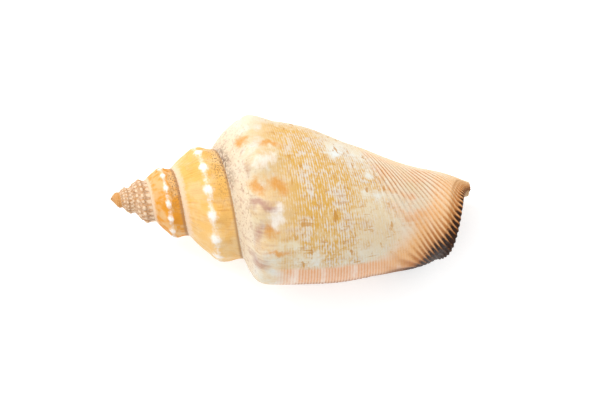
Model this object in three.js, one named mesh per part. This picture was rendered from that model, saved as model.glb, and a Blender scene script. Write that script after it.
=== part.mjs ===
// A small humped conch shell, 55 mm from the tip of its spire to the end of its canal.
//
// One continuous wall is wound round an axis. Every place on it is named by two numbers:
//   turn   the angle of growth in degrees; 0 points to +Y, 90 is the back, 180 the lip side
//   along  0 at the seam with the older whorl, 1 at the front end of the canal
// The wall closes on itself at the seams, comes to the free lip, rounds it and runs back
// inside as the lining of the mouth, so the shell is a single closed body with an open mouth.
//
// Millimetres, +X from the spire to the canal, +Y away from the lip, +Z up; mouth down,
// resting on its belly and its lip with the middle of its box over the origin.

import * as THREE from 'three';

// ---- driving dimensions ----
const FULL_TURN = 360;
const GROWTH = 1.64;            // gain in size over one full turn
const APEX_X = 0;               // tip of the spire
const SPIRAL_X = -1;            // where the spiral would begin if it never ended
const SEAM = [16.45, 7.3];      // distance from there and radius of the seam at turn 0
const RAMP = [19.6, 10.35];     // half way up the sloping ramp
const SHOULDER = [22.7, 12.0];  // the angled shoulder
const FIRST_TURN = -1800;       // the oldest part of the spire
const BODY_TURN = -145;         // the last whorl begins here
const LIP_TURN = 215;           // and ends at the lip
const MOUTH_DEPTH = 200;        // how far the lining is followed inside, degrees
const WALL = 1.15;              // thickness of the wall at the lip
const WALL_LOSS = 0.35;         // share of that lost further in
const LIP_BAND = [0.55, 9, 9];  // swelling behind the lip: height, distance back, half width
const LIP_SWEEP = 125;          // how far the front margin is cut back, degrees
const FLATTEN = 0.9;            // height of a whorl against its width
const CANAL_BEND = [46, 0.6, 1.2];  // the canal turns from here on: start, sideways, up
const KNOB_STEP = 26.4;         // from one shoulder knob to the next, degrees
const KNOB_PHASE = -14.4;       // the last knob of the spire's ring; the larger ones follow
const KNOB = [0.62, 7.5, 1.5, 3.0]; // height, half width in degrees, reach behind and ahead
const BELLY_KNOB = [0.55, -88, 40]; // extra height on the belly side: gain, where, spread
const BACK_KNOBS = [[20, 1.15], [64, 1.25], [97, 1.05], [130, 0.7], [163, 0.45], [192, 0.3]];
const BACK_KNOB_WIDTH = 8.5;
const REST_ROLL = 0.58;         // how the shell leans when it lies on its mouth
const REST_PITCH = 8.62;
const REST_YAW = 1;
const BELLY_LEVEL = -11.75;     // below this the belly and lip are worn flatter
const BELLY_KEEP = 0.35;

// Places along the profile of a whorl, and how the last whorl fills out as it grows.
const PLACES = [0, 0.1, 0.2, 0.3, 0.45, 0.62, 0.78, 0.9, 1];
const NEXT_SEAM = 3;            // index of the place the following whorl is laid on
const BODY_KEYS = [BODY_TURN, 0, 180, LIP_TURN];
const BODY = [                  // [x, radius] at the four keys, from the ramp to the canal
  [null, [17.7, 10.3], [21.3, 11.7], [21.7, 11.8]],
  [null, [20.4, 11.7], [22.9, 13.1], [23.3, 13.1]],
  [null, [23.8, 11.55], [27.4, 13.5], [28, 13.4]],
  [[26.4, 8.6], [29.4, 10.45], [34.1, 13.35], [34.8, 13.3]],
  [[35.5, 5.3], [36.6, 7.4], [43, 11.9], [43.6, 11.8]],
  [[43.9, 3.3], [43.9, 4.45], [49.5, 10.3], [49.9, 9.95]],
  [[50.8, 2.1], [50.3, 2.7], [53, 7.4], [53.2, 6.9]],
  [[55, 1], [55, 1], [55, 1], [55, 1]],
];

// ---- fineness of the mesh ----
const STEPS_PER_TURN = 48;
const SPIRE_ROWS = 7;
const SIDE_ROWS = 8;
const CANAL_ROWS = 9;
const CANAL_FROM = 0.75;
const LINING_STEPS = 14;

// ---- small helpers ----
function smooth(from, to, value) {
  const t = Math.min(Math.max((value - from) / (to - from), 0), 1);
  return t * t * (3 - 2 * t);
}

function bell(distance, width) {
  return Math.exp(-((distance / width) ** 2));
}

function sizeAt(turn) {
  return GROWTH ** (turn / FULL_TURN);
}

// Slopes that let a curve pass through its points without swinging past them.
function slopes(at, values) {
  const rise = at.slice(1).map((a, i) => (values[i + 1] - values[i]) / (a - at[i]));
  return at.map((a, i) => {
    if (i === 0) return rise[0];
    if (i === at.length - 1) return rise[i - 1];
    const before = at[i] - at[i - 1];
    const after = at[i + 1] - at[i];
    const mean = (after * rise[i - 1] + before * rise[i]) / (before + after);
    const limit = 3 * Math.min(Math.abs(rise[i - 1]), Math.abs(rise[i]));
    if (rise[i - 1] * rise[i] <= 0) return 0;
    return Math.min(Math.max(mean, -limit), limit);
  });
}

function curve(at, values, x) {
  const slope = slopes(at, values);
  let i = 0;
  while (i < at.length - 2 && x >= at[i + 1]) i += 1;
  const h = at[i + 1] - at[i];
  const s = (x - at[i]) / h;
  const s2 = s * s;
  const s3 = s2 * s;
  return (2 * s3 - 3 * s2 + 1) * values[i] + (s3 - 2 * s2 + s) * h * slope[i]
    + (-2 * s3 + 3 * s2) * values[i + 1] + (s3 - s2) * h * slope[i + 1];
}

// ---- the outline of a whorl ----
function spiral([reach, radius], turn) {
  const size = sizeAt(turn);
  return [SPIRAL_X + reach * size, radius * size];
}

const startOfBody = [
  spiral(RAMP, BODY_TURN),
  spiral(SHOULDER, BODY_TURN),
  spiral([SEAM[0] * GROWTH, SEAM[1] * GROWTH], BODY_TURN),
];
const bodyKeys = BODY.map((row, i) => row.map((point) => point ?? startOfBody[i]));
const keysEnd = BODY.length - 1;

// The older whorls shrink by the growth law; their hidden pillar keeps its length.
function placeOnWhorl(index, turn) {
  const keys = bodyKeys[index];
  const grown = Math.max(turn, BODY_TURN);
  const shrink = turn < BODY_TURN ? sizeAt(turn - BODY_TURN) : 1;
  const x = curve(BODY_KEYS, keys.map((p) => p[0]), grown);
  const radius = curve(BODY_KEYS, keys.map((p) => p[1]), grown);
  if (index < NEXT_SEAM) return [SPIRAL_X + (x - SPIRAL_X) * shrink, radius * shrink];
  if (index < keysEnd) return [x, radius * shrink];
  return [x, radius];
}

function outline(turn) {
  const points = [spiral(SEAM, turn)];
  for (let i = 0; i < BODY.length; i += 1) points.push(placeOnWhorl(i, turn));
  return { xs: points.map((p) => p[0]), radii: points.map((p) => p[1]) };
}

// ---- relief on the outside ----
function knobHeight(turn, x, shoulderX, size) {
  const nearest = Math.round((turn - KNOB_PHASE) / KNOB_STEP) * KNOB_STEP + KNOB_PHASE;
  let height = 0;
  if (nearest <= KNOB_PHASE + 1) {
    const belly = 1 + BELLY_KNOB[0] * bell(nearest - BELLY_KNOB[1], BELLY_KNOB[2]);
    const young = smooth(FIRST_TURN, FIRST_TURN + 300, nearest);
    height += KNOB[0] * size * belly * young * bell(turn - nearest, KNOB[1]);
  }
  for (const [where, tall] of BACK_KNOBS) height += tall * bell(turn - where, BACK_KNOB_WIDTH);
  const ahead = (x - shoulderX) / size;
  return height * bell(ahead, ahead < 0 ? KNOB[2] : KNOB[3]);
}

// Relief dies away at the seams, so that neighbouring whorls meet exactly.
function clearOfSeams(turn, along) {
  const seam = PLACES[NEXT_SEAM];
  const behind = 1 - smooth(seam - 0.06, seam, along);
  if (turn <= BODY_TURN) return smooth(0, 0.05, along) * behind;
  const fade = 1 - smooth(BODY_TURN, BODY_TURN + 40, turn);
  const ahead = 1 - smooth(seam, seam + 0.06, along);
  return smooth(0, 0.05, along) * (1 - fade * (1 - behind) * ahead);
}

function marginShift(along) {
  return -LIP_SWEEP * smooth(0.74, 1, along);
}

function lipBand(turn, along) {
  const [height, back, width] = LIP_BAND;
  const fromLip = turn - (LIP_TURN + marginShift(along) - back);
  return height * bell(fromLip, width) * smooth(0.05, 0.3, along) * (1 - smooth(0.9, 1, along));
}

// ---- a point of the wall ----
function wall(turn, along) {
  const { xs, radii } = outline(turn);
  const step = 1e-3;
  const low = Math.max(along - step, 0);
  const high = Math.min(along + step, 1);
  const dx = curve(PLACES, xs, high) - curve(PLACES, xs, low);
  const dr = curve(PLACES, radii, high) - curve(PLACES, radii, low);
  const length = Math.hypot(dx, dr);
  let x = curve(PLACES, xs, along);
  let radius = curve(PLACES, radii, along);
  const pillar = turn < BODY_TURN && along > PLACES[NEXT_SEAM];
  const size = sizeAt(Math.min(turn, 0));
  let relief = lipBand(turn, along);
  if (!pillar) relief += knobHeight(turn, x, xs[2], size) * clearOfSeams(turn, along);
  x -= (dr / length) * relief;
  radius += (dx / length) * relief;
  const angle = THREE.MathUtils.degToRad(turn);
  const bend = smooth(CANAL_BEND[0], CANAL_BEND[0] + 10, x);
  return new THREE.Vector3(
    x,
    radius * Math.cos(angle) + CANAL_BEND[1] * bend,
    radius * Math.sin(angle) * FLATTEN + CANAL_BEND[2] * bend,
  );
}

// ---- gathering points and triangles ----
const points = [];
const triangles = [];

function addPoint(point) {
  points.push(point);
  return points.length - 1;
}

function addTriangle(a, b, c) {
  if (a !== b && b !== c && c !== a) triangles.push(a, b, c);
}

// Joins two neighbouring rows of the wall; both run from the seam to the canal.
function addStrip(older, newer) {
  for (let j = 0; j < older.length - 1; j += 1) {
    addTriangle(older[j], newer[j + 1], older[j + 1]);
    addTriangle(older[j], newer[j], newer[j + 1]);
  }
}

function spread(from, to, count) {
  return Array.from({ length: count }, (_, i) => from + ((to - from) * (i + 1)) / count);
}

// ---- the outside: a spire of strips, then the last whorl ----
const seamAlong = PLACES[NEXT_SEAM];
const rows = [
  0,
  ...spread(0, seamAlong, SPIRE_ROWS),
  ...spread(seamAlong, CANAL_FROM, SIDE_ROWS),
  ...spread(CANAL_FROM, 1, CANAL_ROWS),
];
const seamRow = SPIRE_ROWS;
const lastRow = rows.length - 1;
const turnStep = FULL_TURN / STEPS_PER_TURN;
const spireSteps = Math.ceil((BODY_TURN - FIRST_TURN) / turnStep);
const canalTip = addPoint(wall(BODY_TURN, 1));

function spireColumn(turn) {
  return rows.slice(0, seamRow).map((along) => addPoint(wall(turn, along)));
}

function bodyColumn(turn, from) {
  const column = [];
  for (let j = from; j < lastRow; j += 1) {
    column.push(addPoint(wall(turn + marginShift(rows[j]), rows[j])));
  }
  column.push(canalTip);
  return column;
}

const columns = [];
for (let i = 0; i <= spireSteps; i += 1) {
  columns.push(spireColumn(BODY_TURN - (spireSteps - i) * turnStep));
}
columns[spireSteps].push(...bodyColumn(BODY_TURN, seamRow));
for (let i = 1; i < STEPS_PER_TURN; i += 1) {
  columns.push(bodyColumn(BODY_TURN + i * turnStep, 0));
}
const lip = bodyColumn(LIP_TURN, 1);
lip.unshift(columns[spireSteps][seamRow]);
columns.push(lip);

// Every whorl of the spire ends on the seam where the following whorl begins.
for (let i = 0; i < spireSteps; i += 1) columns[i].push(columns[i + STEPS_PER_TURN][0]);

for (let i = 0; i < columns.length - 1; i += 1) {
  const shared = Math.min(columns[i].length, columns[i + 1].length);
  addStrip(columns[i].slice(0, shared), columns[i + 1].slice(0, shared));
}

// The tip of the spire closes the first turn.
function closeApex() {
  const apex = addPoint(new THREE.Vector3(APEX_X, 0, 0));
  for (let i = 0; i < STEPS_PER_TURN; i += 1) addTriangle(apex, columns[i + 1][0], columns[i][0]);
  for (let j = 0; j < seamRow; j += 1) addTriangle(apex, columns[0][j], columns[0][j + 1]);
}
closeApex();

// ---- the lining of the mouth ----
// Each ring has an outer side under the wall and an inner side along the pillar.
function liningRing({ share, past, depth, inside }) {
  const near = PLACES[NEXT_SEAM] + 0.035 * smooth(0, 0.3, depth) + 0.03 * depth;
  const far = 1 - 0.07 * smooth(0, 0.3, depth) - 0.03 * depth;
  const pillarPoint = (along) => (
    wall(LIP_TURN + marginShift(along) - MOUTH_DEPTH * depth - FULL_TURN, along)
  );
  const pillar = rows.slice(seamRow).map((along) => {
    const part = (along - seamAlong) / (1 - seamAlong);
    return addPoint(pillarPoint(near + (far - near) * part));
  });
  const outer = [pillar[0]];
  const thick = WALL * (1 - WALL_LOSS * smooth(0, 0.25, depth));
  for (let j = 1; j < lastRow; j += 1) {
    const along = rows[j];
    const turn = LIP_TURN + marginShift(along) + (inside ? -MOUTH_DEPTH * depth : past);
    const skin = wall(turn, along);
    const core = pillarPoint(near + (far - near) * along);
    const gap = skin.distanceTo(core);
    const ends = smooth(0, 0.1, along) * (1 - smooth(0.93, 1, along));
    const under = core.clone().lerp(skin, (gap / (gap + thick)) * ends);
    const corner = 1 - smooth(0, 0.06, along) * (1 - smooth(0.96, 1, along));
    outer.push(addPoint(skin.lerp(under, share).lerp(core, corner)));
  }
  outer.push(pillar[pillar.length - 1]);
  return { outer, pillar };
}

function liningSteps() {
  const quarter = THREE.MathUtils.radToDeg(WALL / 13);
  const steps = [
    { share: 0.15, past: 0.35 * quarter, depth: 0.004, inside: false },
    { share: 0.5, past: 0.5 * quarter, depth: 0.008, inside: false },
    { share: 0.85, past: 0.35 * quarter, depth: 0.012, inside: false },
    { share: 1, past: 0, depth: 0.016, inside: false },
  ];
  for (const depth of spread(0.016, 1, LINING_STEPS)) {
    steps.push({ share: 1, past: 0, depth, inside: true });
  }
  return steps;
}

let outerEdge = lip;
let pillarEdge = columns[spireSteps].slice(seamRow);
for (const step of liningSteps()) {
  const { outer, pillar } = liningRing(step);
  addStrip(outerEdge, outer);
  addStrip(pillar, pillarEdge);
  outerEdge = outer;
  pillarEdge = pillar;
}

// The innermost ring is closed across, side to side.
function closeAcross(outer, pillar) {
  let i = 0;
  let j = 0;
  while (i < outer.length - 1 || j < pillar.length - 1) {
    const outerNext = (i + 1) / (outer.length - 1);
    const pillarNext = (j + 1) / (pillar.length - 1);
    if (j === pillar.length - 1 || (i < outer.length - 1 && outerNext <= pillarNext)) {
      addTriangle(outer[i], pillar[j], outer[i + 1]);
      i += 1;
    } else {
      addTriangle(outer[i], pillar[j], pillar[j + 1]);
      j += 1;
    }
  }
}
closeAcross(outerEdge, pillarEdge);

// ---- laid down on its mouth ----
const turnDown = new THREE.Matrix4()
  .makeRotationZ(THREE.MathUtils.degToRad(REST_YAW))
  .multiply(new THREE.Matrix4().makeRotationY(THREE.MathUtils.degToRad(REST_PITCH)))
  .multiply(new THREE.Matrix4().makeRotationX(THREE.MathUtils.degToRad(REST_ROLL)));

function wearFlat(point) {
  const below = Math.max(BELLY_LEVEL - point.z, 0);
  point.z += (1 - BELLY_KEEP) * (below * below) / (below + 0.4);
  return point;
}

const placed = points.map((point) => wearFlat(point.applyMatrix4(turnDown)));
const geometry = new THREE.BufferGeometry().setFromPoints(placed);
geometry.setIndex(triangles);
geometry.computeBoundingBox();
const box = geometry.boundingBox;
const middle = box.getCenter(new THREE.Vector3());
geometry.translate(-middle.x, -middle.y, -box.min.z);
geometry.computeVertexNormals();

const material = new THREE.MeshStandardMaterial({
  color: 0xe2bd84,
  roughness: 0.42,
  metalness: 0,
});
const shell = new THREE.Mesh(geometry, material);
shell.name = 'shell';

const group = new THREE.Group();
group.name = 'conch_shell';
group.add(shell);

export default group;
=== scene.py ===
import math

import bpy
import numpy as np
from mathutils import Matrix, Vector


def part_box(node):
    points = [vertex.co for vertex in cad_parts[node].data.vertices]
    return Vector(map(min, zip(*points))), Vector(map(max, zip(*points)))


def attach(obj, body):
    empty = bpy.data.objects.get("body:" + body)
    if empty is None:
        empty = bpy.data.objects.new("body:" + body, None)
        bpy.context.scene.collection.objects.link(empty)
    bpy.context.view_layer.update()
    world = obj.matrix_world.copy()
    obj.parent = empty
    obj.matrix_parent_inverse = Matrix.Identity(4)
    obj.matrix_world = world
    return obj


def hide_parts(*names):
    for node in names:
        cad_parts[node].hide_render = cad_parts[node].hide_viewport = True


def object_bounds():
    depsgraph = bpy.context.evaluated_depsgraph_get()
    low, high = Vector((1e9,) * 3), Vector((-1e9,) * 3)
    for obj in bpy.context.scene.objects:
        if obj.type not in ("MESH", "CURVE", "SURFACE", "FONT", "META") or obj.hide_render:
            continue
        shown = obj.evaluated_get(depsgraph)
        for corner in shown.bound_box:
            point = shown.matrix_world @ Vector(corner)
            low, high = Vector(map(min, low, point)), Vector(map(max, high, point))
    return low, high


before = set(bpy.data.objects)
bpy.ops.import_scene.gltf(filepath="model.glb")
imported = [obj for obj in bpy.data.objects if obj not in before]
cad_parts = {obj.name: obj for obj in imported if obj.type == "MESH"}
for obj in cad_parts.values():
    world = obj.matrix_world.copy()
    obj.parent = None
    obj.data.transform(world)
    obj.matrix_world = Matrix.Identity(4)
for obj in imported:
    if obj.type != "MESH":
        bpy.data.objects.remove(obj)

bl_info = {
    "name": "Conch shell",
    "version": (1, 0, 0),
    "blender": (4, 5, 0),
    "location": "3D view > Sidebar > Conch",
    "description": "Winds a small humped conch shell and lays it on a pale table",
    "category": "Add Mesh",
}

CAD_BOX = [list(map(float, corner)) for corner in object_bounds()]
SHELL_BOX = [list(map(float, corner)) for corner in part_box("shell")]
MM = 0.001

# ---- how the shell grows; millimetres and degrees ----
# turn is the angle of growth: 0 points to +Y, 90 is the back, 180 the lip's side.
# along is 0 at the seam with the older whorl and 1 at the end of the canal.
FULL_TURN = 360.0
GROWTH = 1.64                   # gain in size over one full turn
SPIRAL_X = -1.0                 # where the spiral would begin if it never ended
SEAM = (16.45, 7.3)             # distance from there and radius of the seam at turn 0
RAMP = (19.6, 10.35)            # half way up the sloping ramp
SHOULDER = (22.7, 12.0)         # the angled shoulder
FIRST_TURN = -1800.0            # the oldest part of the spire
BODY_TURN = -145.0              # the last whorl begins here
LIP_TURN = 215.0                # and ends at the lip
MOUTH_DEPTH = 200.0             # how far the lining is followed inside
WALL = 1.15                     # thickness of the wall at the lip
WALL_LOSS = 0.35                # share of that lost further in
EDGE_DEPTH = 0.02               # depth that the lining starts with, so that the outside has none
LIP_BAND = (0.55, 9.0, 9.0)     # swelling behind the lip: height, distance back, half width
LIP_SWEEP = 125.0               # how far the front margin is cut back
SWEEP_FROM = 0.74               # and from which place on
FLATTEN = 0.9                   # height of a whorl against its width
CANAL_BEND = (46.0, 0.6, 1.2)   # the canal turns from here on: start, sideways, up
KNOB_STEP = 26.4                # from one shoulder knob to the next
KNOB_PHASE = -14.4              # the last knob of the spire's ring; the larger ones follow
KNOB = (0.62, 7.5, 1.5, 3.0)    # height, half width in degrees, reach behind and ahead
BELLY_KNOB = (0.55, -88.0, 40.0)  # extra height on the belly side: gain, where, spread
BACK_KNOBS = ((20, 1.15), (64, 1.25), (97, 1.05), (130, 0.7), (163, 0.45), (192, 0.3))
BACK_KNOB_WIDTH = 8.5
REST = (0.58, 8.62, 1.0)        # how the shell leans on its mouth: roll, pitch, yaw
BELLY_LEVEL = -11.75            # below this the belly and lip are worn flatter
BELLY_KEEP = 0.35
CORD_SPACING = 0.74             # from one cord of the front to the next
THREAD_SPACING = 0.4            # from one fine thread of the last whorl to the next
LINE_SPACING = 0.44             # from one line across the lip band to the next
BEAD_ROW = 0.1                  # from one row of beads to the next, as a share of the profile
BEAD_STEP = 17.6                # from one bead to the next, degrees
OLD_WHORLS = -805.0             # the beaded whorls are older than this
PLACES = np.array([0, 0.1, 0.2, 0.3, 0.45, 0.62, 0.78, 0.9, 1.0])
SEAM_ALONG = 0.3                # the place that the following whorl is laid on
BODY_KEYS = np.array([BODY_TURN, 0.0, 180.0, LIP_TURN])


def spiral(place, turn):
    size = GROWTH ** (turn / FULL_TURN)
    return (SPIRAL_X + place[0] * size, place[1] * size)


# Distance and radius at the four keys of the last whorl, from the ramp to the canal's end.
BODY = np.array([
    [spiral(RAMP, BODY_TURN), (17.7, 10.3), (21.3, 11.7), (21.7, 11.8)],
    [spiral(SHOULDER, BODY_TURN), (20.4, 11.7), (22.9, 13.1), (23.3, 13.1)],
    [spiral((SEAM[0] * GROWTH, SEAM[1] * GROWTH), BODY_TURN), (23.8, 11.55), (27.4, 13.5), (28, 13.4)],
    [(26.4, 8.6), (29.4, 10.45), (34.1, 13.35), (34.8, 13.3)],
    [(35.5, 5.3), (36.6, 7.4), (43, 11.9), (43.6, 11.8)],
    [(43.9, 3.3), (43.9, 4.45), (49.5, 10.3), (49.9, 9.95)],
    [(50.8, 2.1), (50.3, 2.7), (53, 7.4), (53.2, 6.9)],
    [(55, 1), (55, 1), (55, 1), (55, 1)],
])
HIDDEN_FROM = 3                 # the stations from here on are covered in the older whorls


# ---- the stage, metres ----
TABLE_GAP = 0.00002             # the table lies this far under the shell
KEY_LAMP_PLACE = (-0.26, 0.3, 0.5)
KEY_LAMP_SIZE = 0.2
CAMERA_PLACE = (0.00204, -0.00053)  # the camera looks straight down from over this point


# ---- the outline of a whorl, worked out for many places at once ----
def smooth(low, high, value):
    t = np.clip((np.asarray(value, float) - low) / (high - low), 0, 1)
    return t * t * (3 - 2 * t)


def slopes(at, values):
    """Slopes that carry a curve through its points without swinging past them."""
    step = np.diff(at).reshape(-1, *([1] * (values.ndim - 1)))
    rise = np.diff(values, axis=0) / step
    before, after = step[:-1], step[1:]
    mean = (after * rise[:-1] + before * rise[1:]) / (before + after)
    limit = 3 * np.minimum(abs(rise[:-1]), abs(rise[1:]))
    inner = np.where(rise[:-1] * rise[1:] > 0, np.clip(mean, -limit, limit), 0)
    return np.concatenate([rise[:1], inner, rise[-1:]])


def curve(at, values, x):
    """Values at x; each column of values may be a curve of its own."""
    slope = slopes(at, values)
    i = np.clip(np.searchsorted(at, x, side="right") - 1, 0, len(at) - 2)
    h = at[i + 1] - at[i]
    s = (x - at[i]) / h
    pick = (i,) if values.ndim == 1 else (i, np.arange(len(x)))
    nxt = (i + 1,) if values.ndim == 1 else (i + 1, np.arange(len(x)))
    return (
        (2 * s**3 - 3 * s**2 + 1) * values[pick] + (s**3 - 2 * s**2 + s) * h * slope[pick]
        + (3 * s**2 - 2 * s**3) * values[nxt] + (s**3 - s**2) * h * slope[nxt]
    )


def outline(turn):
    """Reach and radius of the nine places of the profile at each turn."""
    grown = np.maximum(turn, BODY_TURN)
    shrink = GROWTH ** ((np.minimum(turn, BODY_TURN) - BODY_TURN) / FULL_TURN)
    reach, radius = spiral(SEAM, turn)
    reaches, radii = [reach], [radius]
    for i, keys in enumerate(BODY):
        x = curve(BODY_KEYS, keys[:, 0].copy(), grown)
        r = curve(BODY_KEYS, keys[:, 1].copy(), grown)
        reaches.append(SPIRAL_X + (x - SPIRAL_X) * shrink if i < HIDDEN_FROM else x)
        radii.append(r if i == len(BODY) - 1 else r * shrink)
    return np.array(reaches), np.array(radii)


def margin_shift(along):
    """Where the free margin lies against the lip's turn, degrees: 0 or less, as it is cut back."""
    return -LIP_SWEEP * smooth(SWEEP_FROM, 1, along)


def cord_scale():
    """Millimetres along the profile from the seam, measured once on the back of the last whorl."""
    along = np.linspace(0, 1, 401)
    reach, radius = outline(np.full(401, 120.0))
    x = curve(PLACES, reach, along)
    r = curve(PLACES, radius, along)
    run = np.concatenate([[0], np.cumsum(np.hypot(np.diff(x), np.diff(r)))])
    return along, run


CORD_ALONG, CORD_RUN = cord_scale()


class Sheet:
    """The unwound wall: for each corner its reach, radius and turn, and its guides."""

    GUIDES = ("ahead", "cord_run", "edge", "clear", "turn", "along")

    def __init__(self):
        self.points = []
        self.guides = []
        self.faces = []
        self.corner_guides = []
        self.count = 0

    def add(self, turn, along, clear=None, place=None):
        """Adds corners on the winding wall, or at a place of their own, and gives their numbers."""
        turn = np.atleast_1d(np.asarray(turn, float))
        along = np.atleast_1d(np.asarray(along, float))
        reach, radius = outline(turn)
        x, r = place or (curve(PLACES, reach, along), curve(PLACES, radius, along))
        ahead = (x - reach[2]) / GROWTH ** (np.minimum(turn, 0) / FULL_TURN)
        run = np.interp(along, CORD_ALONG, CORD_RUN)
        edge = LIP_TURN + margin_shift(along) - turn
        if clear is None:
            clear = self.clear_of_seams(turn, along)
        columns = [ahead, run, edge, clear, turn, along]
        full = np.stack([np.broadcast_to(np.asarray(c, float), turn.shape) for c in columns], -1)
        self.points.append(np.stack([x, r, np.radians(turn)], -1))
        self.guides.append(full)
        first = self.count
        self.count += len(turn)
        return list(range(first, self.count))

    @staticmethod
    def clear_of_seams(turn, along):
        """Relief dies away at the seams, so that neighbouring whorls meet exactly."""
        behind = 1 - smooth(SEAM_ALONG - 0.06, SEAM_ALONG, along)
        ahead = 1 - smooth(SEAM_ALONG, SEAM_ALONG + 0.06, along)
        fade = 1 - smooth(BODY_TURN, BODY_TURN + 40, turn)
        old = smooth(0, 0.05, along) * behind
        new = smooth(0, 0.05, along) * (1 - fade * (1 - behind) * ahead)
        pillar = (turn < BODY_TURN) & (along > SEAM_ALONG)
        return np.where(pillar, 0, np.where(turn <= BODY_TURN, old, new))

    def face(self, corners, guides):
        """Adds a face; guides holds the turn and place that each corner has on this side."""
        kept = [i for i in range(len(corners)) if corners[i] != corners[i - 1]]
        if len(kept) > 2:
            self.faces.append([corners[i] for i in kept])
            self.corner_guides.extend(guides[i] for i in kept)


def spread(low, high, count):
    return list(low + (high - low) * (np.arange(count) + 1) / count)


def profile_rows(settings):
    rows = [0.0] + spread(0, SEAM_ALONG, settings.spire_rows)
    rows += spread(SEAM_ALONG, 0.6, settings.side_rows)
    rows += spread(0.6, 1.0, settings.canal_rows)
    return np.array(rows)


def lining_steps(count):
    """Share of the wall's thickness, degrees past the edge, depth and whether inside."""
    quarter = math.degrees(WALL / 13)
    round_steps, step_depth = 6, 0.0027
    steps = []
    for i in range(1, round_steps + 1):
        a = math.pi * i / round_steps
        steps.append(((1 - math.cos(a)) / 2, 0.5 * quarter * math.sin(a), step_depth * i, False))
    steps += [(1.0, 0.0, depth, True) for depth in spread(step_depth * round_steps, 1, count)]
    return steps


def unwound_shell(settings):
    """One closed sheet: spire, last whorl, rounded lip and the lining of the mouth."""
    sheet = Sheet()
    rows = profile_rows(settings)
    columns, turns = wall_columns(sheet, settings, rows)
    cover_wall(sheet, rows, columns, turns)
    close_apex(sheet, settings, rows, columns, turns)
    body_start = columns[-1 - settings.steps_per_turn]
    line_mouth(sheet, settings, rows, columns[-1], body_start[settings.spire_rows:])
    return sheet


def wall_columns(sheet, settings, rows):
    """Columns of corners on the outer wall, from the apex to the lip, and the turn of each."""
    seam_row, last = settings.spire_rows, len(rows) - 1
    steps = settings.steps_per_turn
    turn_step = FULL_TURN / steps
    spire_steps = math.ceil((BODY_TURN - FIRST_TURN) / turn_step)
    turns = [BODY_TURN + (i - spire_steps) * turn_step for i in range(spire_steps + steps + 1)]
    shifts = margin_shift(rows)
    tip = sheet.add(BODY_TURN, 1.0, clear=0.0)
    columns = [sheet.add(np.full(seam_row, turn), rows[:seam_row]) for turn in turns[:spire_steps + 1]]
    part = slice(seam_row, last)
    columns[-1] += sheet.add(BODY_TURN + shifts[part], rows[part]) + tip
    for turn in turns[spire_steps + 1:-1]:
        columns.append(sheet.add(turn + shifts[:last], rows[:last]) + tip)
    # at the seam the lip starts from the corner that began the last whorl
    lip = sheet.add(turns[-1] + shifts[1:last], rows[1:last])
    columns.append([columns[spire_steps][seam_row]] + lip + tip)
    for i in range(spire_steps):
        columns[i].append(columns[i + steps][0])
    return columns, turns


def cover_wall(sheet, rows, columns, turns):
    shifts = margin_shift(rows)
    for i in range(len(columns) - 1):
        shared = min(len(columns[i]), len(columns[i + 1]))
        for j in range(shared - 1):
            around = [(i, j), (i + 1, j), (i + 1, j + 1), (i, j + 1)]
            guides = [(turns[a] + shifts[b], rows[b], 0.0) for a, b in around]
            sheet.face([columns[a][b] for a, b in around], guides)


def close_apex(sheet, settings, rows, columns, turns):
    apex = sheet.add(turns[0], 0.0, clear=0.0, place=(np.zeros(1), np.zeros(1)))[0]
    for i in range(settings.steps_per_turn):
        guides = [(turns[i], 0, 0), (turns[i + 1], 0, 0), (turns[i], 0, 0)]
        sheet.face([apex, columns[i + 1][0], columns[i][0]], guides)
    for j in range(settings.spire_rows):
        guides = [(turns[0], 0, 0), (turns[0], rows[j], 0), (turns[0], rows[j + 1], 0)]
        sheet.face([apex, columns[0][j], columns[0][j + 1]], guides)


def lining_span(depth):
    """Where the lining begins and ends along the profile; it draws in as it goes deeper."""
    near = SEAM_ALONG + 0.035 * smooth(0, 0.3, depth) + 0.03 * depth
    far = 1 - 0.07 * smooth(0, 0.3, depth) - 0.03 * depth
    return near, far


def pillar_turn(along, depth):
    """Turn of the lining on the pillar's side, one whorl back from the wall's side."""
    return LIP_TURN + margin_shift(along) - MOUTH_DEPTH * depth - FULL_TURN


def wall_side(sheet, middle, step):
    """A ring's corners on the wall's side, set in from the outer face by the wall's thickness."""
    share, past, depth, inside = step
    near, far = lining_span(depth)
    turn = LIP_TURN + margin_shift(middle) + (-MOUTH_DEPTH * depth if inside else past)
    reach, radius = outline(turn)
    x, r = curve(PLACES, reach, middle), curve(PLACES, radius, middle)
    core_along = near + (far - near) * middle
    core_reach, core_radius = outline(pillar_turn(core_along, depth))
    core_x = curve(PLACES, core_reach, core_along)
    core_r = curve(PLACES, core_radius, core_along)
    gap = np.hypot(x - core_x, r - core_r)
    thick = WALL * (1 - WALL_LOSS * float(smooth(0, 0.25, depth)))
    ends = smooth(0, 0.1, middle) * (1 - smooth(0.93, 1, middle))
    under = gap / (gap + thick) * ends
    corner = 1 - smooth(0, 0.06, middle) * (1 - smooth(0.96, 1, middle))
    keep = (1 - share * (1 - under)) * (1 - corner)
    relief = 0.0 if inside else sheet.clear_of_seams(turn, middle) * (1 - share) * (1 - corner)
    place = (core_x + (x - core_x) * keep, core_r + (r - core_r) * keep)
    return sheet.add(turn, middle, clear=relief, place=place)


def lining_guides(rows, depth, back=0.0):
    """Turn, place and depth of a ring's corners; the pillar's side lies one whorl back."""
    turns = LIP_TURN + margin_shift(rows) - MOUTH_DEPTH * max(depth, 0) - back
    return [(turn, along, EDGE_DEPTH + depth) for turn, along in zip(turns, rows)]


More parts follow.
